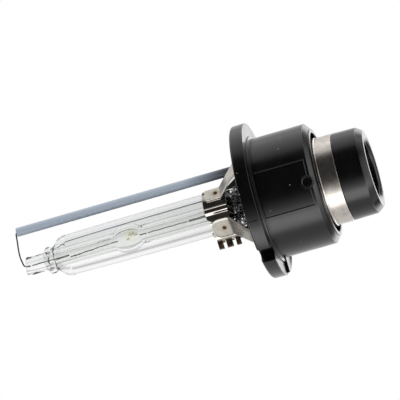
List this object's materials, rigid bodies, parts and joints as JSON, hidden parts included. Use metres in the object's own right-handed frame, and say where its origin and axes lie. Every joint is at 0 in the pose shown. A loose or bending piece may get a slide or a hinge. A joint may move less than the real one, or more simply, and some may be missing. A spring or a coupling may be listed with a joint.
{
  "type": "headlight bulb",
  "caption": "Gas-discharge headlamp bulb: quartz burner in an outer tube, clamped to a flanged black base with a round plug socket and a side return tube.",
  "frame": {"origin": "on the bulb's axis, in the front face of the base's flange, the plane that seats against the headlamp reflector", "axes": "+X along the bulb's axis from the glass tip to the plug socket; +Z towards the ceramic return tube; +Y completes the frame"},
  "size_m": [0.0771, 0.0326, 0.0326],
  "materials": {
    "quartz_glass": "clear, fire-polished",
    "tungsten": "dark drawn tungsten",
    "molybdenum": "grey drawn molybdenum",
    "grey_ceramic": "matte slate blue",
    "polished_stainless": "polished, slightly browned",
    "nickel_strap": "dull nickel plate",
    "contact_metal": "fine-turned nickel steel",
    "black_base_plastic": "satin moulded, glass filled",
    "cement": "dry and grainy"
  },
  "bodies": {
    "root": {"outer_bulb": "quartz_glass", "arc_tube": "quartz_glass", "electrode_front": "tungsten", "electrode_rear": "tungsten", "foil_front": "molybdenum", "foil_rear": "molybdenum", "lead_wire_front": "molybdenum", "lead_wire_rear": "molybdenum", "return_wire": "molybdenum", "ceramic_tube": "grey_ceramic", "clamp_band": "polished_stainless", "support_leg_1": "nickel_strap", "support_leg_2": "nickel_strap", "support_leg_3": "nickel_strap", "support_leg_4": "nickel_strap", "base_housing": "black_base_plastic", "contact_ring": "contact_metal", "socket_collar": "black_base_plastic", "centre_contact": "contact_metal", "potting_cement": "cement", "lead_insulator": "grey_ceramic", "return_strap": "nickel_strap"}
  },
  "joints": []
}
